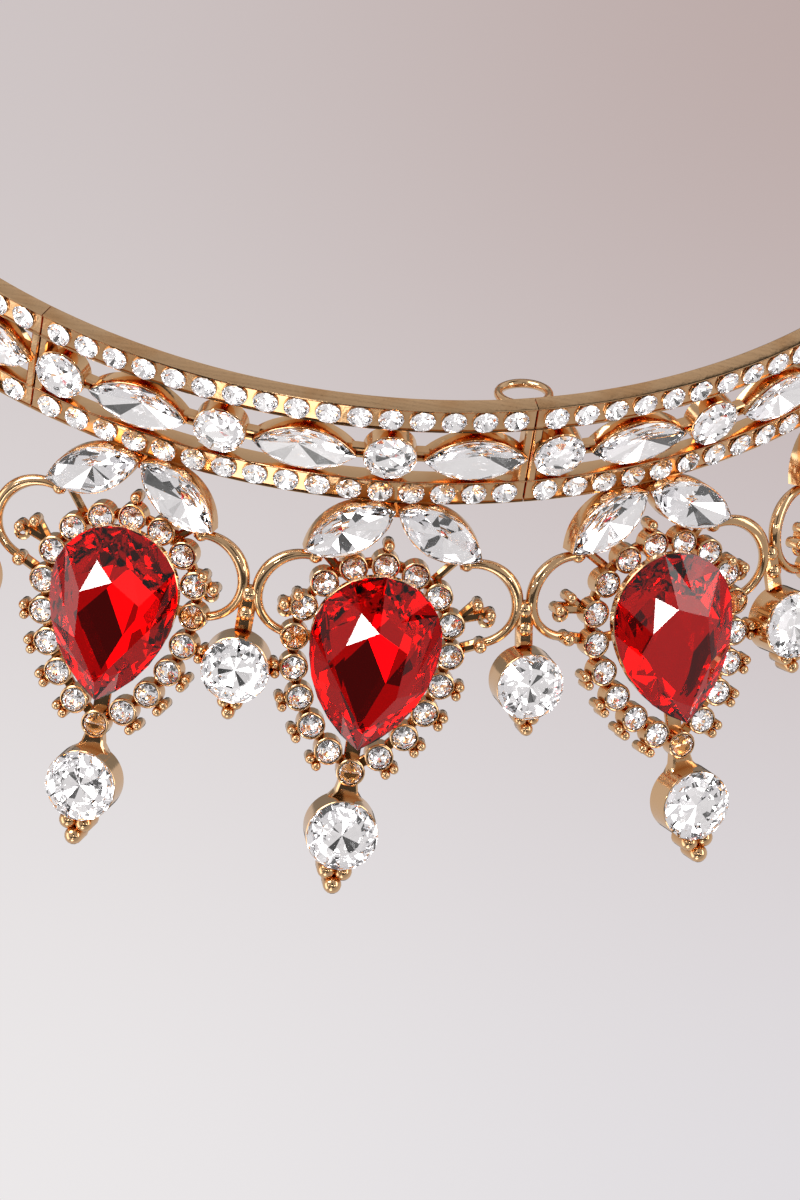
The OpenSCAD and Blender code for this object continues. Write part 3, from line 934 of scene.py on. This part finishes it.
class CROWN_OT_band_stones(CrownStep, bpy.types.Operator):
    """Adds the stones of the two rails and of the middle row"""
    bl_idname = "crown.band_stones"
    bl_label = "Band Stones"

    def build(self, plan):
        rng = random.Random(7)
        for name, node, z in (("lower_rail_brilliants", "lower_rail_stones", plan.lower_z),
                              ("upper_rail_brilliants", "upper_rail_stones", plan.upper_z)):
            shape = Shape()
            for s in range(plan.segments):
                for i in range(plan.rail_stones):
                    at = on_band(plan, s * plan.segment_a + plan.rail_angle(i), z) @ move(0, 0, 0.2)
                    small_cut(shape, plan.rail_stone, at, rng)
            place(name, shape.mesh(name, stone_materials()), "crystal", [node])
        rounds, marquises = Shape(), Shape()
        for s in range(plan.segments):
            for i in range(plan.middle_count):
                at = on_band(plan, s * plan.segment_a + plan.middle_angle(i), plan.middle_z)
                at = at @ move(0, 0, plan.middle_top + LIFT)
                if i % 2 == 0:
                    round_cut(rounds, plan.middle_round, at, rng, 0.5, 0.65, sides=12)
                else:
                    marquise_cut(marquises, plan.middle_length, plan.middle_width, at, 0.28, 1.2,
                                 (rng.uniform(-0.8, 0.8), rng.uniform(-0.3, 0.3)))
        mesh = rounds.mesh("middle rounds", stone_materials())
        place("middle_rounds", mesh, "crystal", ["middle_round_stones"])
        mesh = marquises.mesh("middle marquises", stone_materials())
        place("middle_marquises", mesh, "crystal", ["middle_marquise_stones"])


class CROWN_OT_spire_stones(CrownStep, bpy.types.Operator):
    """Adds the clear stones of the spires and bridges"""
    bl_idname = "crown.spire_stones"
    bl_label = "Spire Stones"

    def build(self, plan):
        rng = random.Random(11)
        leaves, halos, tips, bridges = Shape(), Shape(), Shape(), Shape()
        for i in range(1, plan.spires + 1):
            plain = on_spire(plan, spire_angle(plan, i))
            bent = plain @ turn_z(bend_of(plan, i))
            for side in (-1, 1):
                at = plain @ move(side * plan.leaf_x, plan.leaf_y, plan.leaf_top + LIFT)
                at = at @ turn_z(side * plan.leaf_a)
                marquise_cut(leaves, plan.leaf_length, plan.leaf_width, at, 0.35, 1.3,
                             (side * rng.uniform(-0.4, 0.9), rng.uniform(-0.3, 0.3)))
            for x, y in plan.halo_places():
                small_cut(halos, plan.small, bent @ move(x, y, plan.halo_top), rng)
            round_cut(tips, plan.tip, bent @ move(0, plan.tip_y, plan.cup_top + LIFT), rng, 0.75, 0.85)
            at = on_bridge(plan, plan.spire_a * (i - 1)) @ move(0, 0, plan.cup_top + LIFT)
            round_cut(bridges, plan.bridge, at, rng, 0.7, 0.8)
        for name, shape, node in (("leaf_marquises", leaves, "leaf_stones"),
                                  ("halo_brilliants", halos, "halo_stones"),
                                  ("tip_brilliants", tips, "tip_crystals"),
                                  ("bridge_brilliants", bridges, "bridge_crystals")):
            place(name, shape.mesh(name, stone_materials()), "crystal", [node])


class CROWN_OT_drops(CrownStep, bpy.types.Operator):
    """Adds the red drop stones"""
    bl_idname = "crown.drops"
    bl_label = "Red Drops"

    def build(self, plan):
        for bend in (plan.side_bend, -plan.side_bend):
            shape = Shape()
            at = on_spire(plan, 0) @ turn_z(bend) @ move(0, plan.drop_y, plan.drop_top + LIFT)
            drop_cut(shape, plan.drop_r, plan.drop_tail, at, 1.55, 1.05)
            mesh = shape.mesh("drop cut", stone_materials(red=True))
            for i in range(1, plan.spires + 1):
                if bend_of(plan, i) == bend:
                    place(f"ruby_drop_{i}", mesh, "red_crystal", [f"red_drop_{i}"],
                          turn_z(spire_angle(plan, i)))


# ---------- studio ----------

class CROWN_OT_studio(bpy.types.Operator):
    """Adds the floor, the backdrop, the soft lights and the camera"""
    bl_idname = "crown.studio"
    bl_label = "Studio"

    def execute(self, context):
        studio = context.scene.crown_studio
        self.floor(studio)
        self.camera(studio)
        self.surroundings(context.scene, studio)
        context.scene.view_settings.view_transform = "Standard"
        cycles = context.scene.cycles
        cycles.max_bounces, cycles.glossy_bounces, cycles.transmission_bounces = 16, 10, 12
        return {"FINISHED"}

    def floor(self, studio):
        """Seen only from above, so that the camera can look up at the crown from below it."""
        reach = 60.0
        mesh = bpy.data.meshes.new("floor")
        corners = [(-reach, -reach, 0), (reach, -reach, 0), (reach, reach, 0), (-reach, reach, 0)]
        mesh.from_pydata(corners, [], [(0, 1, 2, 3)])
        floor = add_object("floor", mesh)

        def build(n):
            pale = n.node("BsdfDiffuse", {"Color": rgba(studio.floor)})
            clear = n.node("BsdfTransparent")
            return n.node("MixShader", {0: n.node("NewGeometry", out="Backfacing"), 1: pale, 2: clear})

        mesh.materials.append(finish_material("Pale floor", build))
        floor.visible_shadow = floor.visible_glossy = floor.visible_transmission = False
        floor.visible_diffuse = False

    def basis(self, studio):
        """Right, up and backward directions of the camera, as columns."""
        c, s = cos(studio.below), sin(studio.below)
        columns = Matrix(((-1, 0, 0), (0, s, -c), (0, -c, -s))).transposed()
        roll = Matrix.Rotation(studio.roll, 3, "Z")
        return Matrix.Rotation(studio.turn, 3, "Z") @ columns @ roll

    def camera(self, studio):
        data = bpy.data.cameras.new("studio camera")
        data.lens, data.sensor_width, data.sensor_fit = studio.lens, 36.0, "AUTO"
        data.clip_start, data.clip_end = 0.05, 200.0
        camera = add_object("studio camera", data)
        basis = self.basis(studio)
        target = Matrix.Rotation(studio.turn, 3, "Z") @ Vector(studio.target)
        place = target + basis @ Vector((0, 0, studio.distance))
        camera.matrix_world = Matrix.Translation(place) @ basis.to_4x4()
        bpy.context.scene.camera = camera

    def surroundings(self, scene, studio):
        """Large soft panels round a dim room for the reflections, and a plain pale backdrop."""
        world = bpy.data.worlds.new("studio")
        scene.world = world
        n = Nodes(world)
        basis = self.basis(studio)
        view = n.node("TexCoord", out="Generated")
        room = n.mix(n.dot(view, tuple(basis.col[2])).above(-0.5, 0.25),
                     (0.60, 0.575, 0.575, 1), (0.41, 0.395, 0.39, 1))
        for right, up, back, wide, tall, power in PANELS:
            toward = (basis @ Vector((right, up, back))).normalized()
            across = (basis @ Vector((0, 1, 0))).cross(toward).normalized()
            over = toward.cross(across)
            ahead = n.dot(view, tuple(toward))
            x = abs(n.dot(view, tuple(across)) / ahead)
            y = abs(n.dot(view, tuple(over)) / ahead)
            inside = 1 - x.above(wide * 0.85, wide * 1.1)
            inside = inside * (1 - y.above(tall * 0.85, tall * 1.1)) * ahead.above(0.0, 0.01)
            room = n.mix(inside, room, rgba((1.0, 0.98, 0.95), power))
        seen = n.node("LightPath", out="Is Camera Ray")
        height = n.dot(view, tuple(basis.col[1])).above(-0.055, 0.055)
        aside = n.dot(view, tuple(basis.col[0])).above(-0.045, 0.045)
        top = n.mix(aside, (0.62, 0.56, 0.56, 1), (0.50, 0.40, 0.385, 1))
        low = n.mix(aside, (0.84, 0.815, 0.82, 1), (0.745, 0.72, 0.745, 1))
        pale = n.mix(height, low, top)
        glass = n.node("LightPath", out="Transmission Depth").above(0.2, 0.8)
        background = n.node("Background", {"Color": n.mix(seen, room, pale),
                                           "Strength": 1 + glass * (studio.sparkle - 1)})
        n.node("OutputWorld", {"Surface": background})


# Soft panels and dark cards, each over those before it: direction as right, up and toward the camera,
# half width, half height, brightness. The last three are lamps for one facet of each front drop.
PANELS = (
    (-0.55, 0.75, 0.65, 0.34, 0.30, 5.0),
    (0.95, 0.25, 0.45, 0.16, 0.60, 3.0),
    (-1.0, -0.2, 0.1, 0.30, 0.60, 1.8),
    (-0.25, -1.0, 0.25, 0.22, 0.20, 2.5),
    (0.0, -0.55, 0.80, 0.80, 0.18, 0.06),
    (-0.21, -0.70, 0.68, 0.12, 0.05, 4.0),
    (0.05, 0.05, 1.0, 0.16, 0.26, 0.03),
    (0.55, 0.85, 0.25, 0.22, 0.30, 0.04),
    (0.0, 0.3, -1.0, 0.14, 1.2, 0.05),
    (0.0, 0.6, -0.8, 1.1, 0.30, 0.25),
    (0.01, -0.18, 0.98, 0.03, 0.03, 30.0),
    (0.56, -0.22, 0.80, 0.03, 0.03, 30.0),
    (-0.64, -0.02, 0.77, 0.03, 0.03, 30.0),
)


class CROWN_PT_panel(bpy.types.Panel):
    """Sidebar panel with the crown's steps and sizes"""
    bl_idname = "CROWN_PT_panel"
    bl_label = "Jewelled Crown"
    bl_space_type = "VIEW_3D"
    bl_region_type = "UI"
    bl_category = "Crown"

    def draw(self, context):
        for step in STEPS:
            self.layout.operator(step.bl_idname)
        scene = context.scene
        for group in (scene.crown_sizes, scene.crown_stones, scene.crown_finish, scene.crown_studio):
            column = self.layout.column(align=True)
            for key in group.bl_rna.properties.keys():
                if key not in ("rna_type", "name"):
                    column.prop(group, key)


GROUPS = {"crown_sizes": CrownSizes, "crown_stones": StoneSizes, "crown_finish": CrownFinish,
          "crown_studio": StudioSettings}
STEPS = (CROWN_OT_band, CROWN_OT_spires, CROWN_OT_bridges, CROWN_OT_band_stones, CROWN_OT_spire_stones,
         CROWN_OT_drops, CROWN_OT_studio)


def register():
    for cls in (*GROUPS.values(), *STEPS, CROWN_PT_panel):
        bpy.utils.register_class(cls)
    for name, cls in GROUPS.items():
        setattr(bpy.types.Scene, name, PointerProperty(type=cls))


def unregister():
    for name in GROUPS:
        delattr(bpy.types.Scene, name)
    for cls in (CROWN_PT_panel, *reversed(STEPS), *reversed(GROUPS.values())):
        bpy.utils.unregister_class(cls)


def main():
    register()
    for step in STEPS:
        area, name = step.bl_idname.split(".")
        getattr(getattr(bpy.ops, area), name)()


if __name__ == "__main__":
    main()
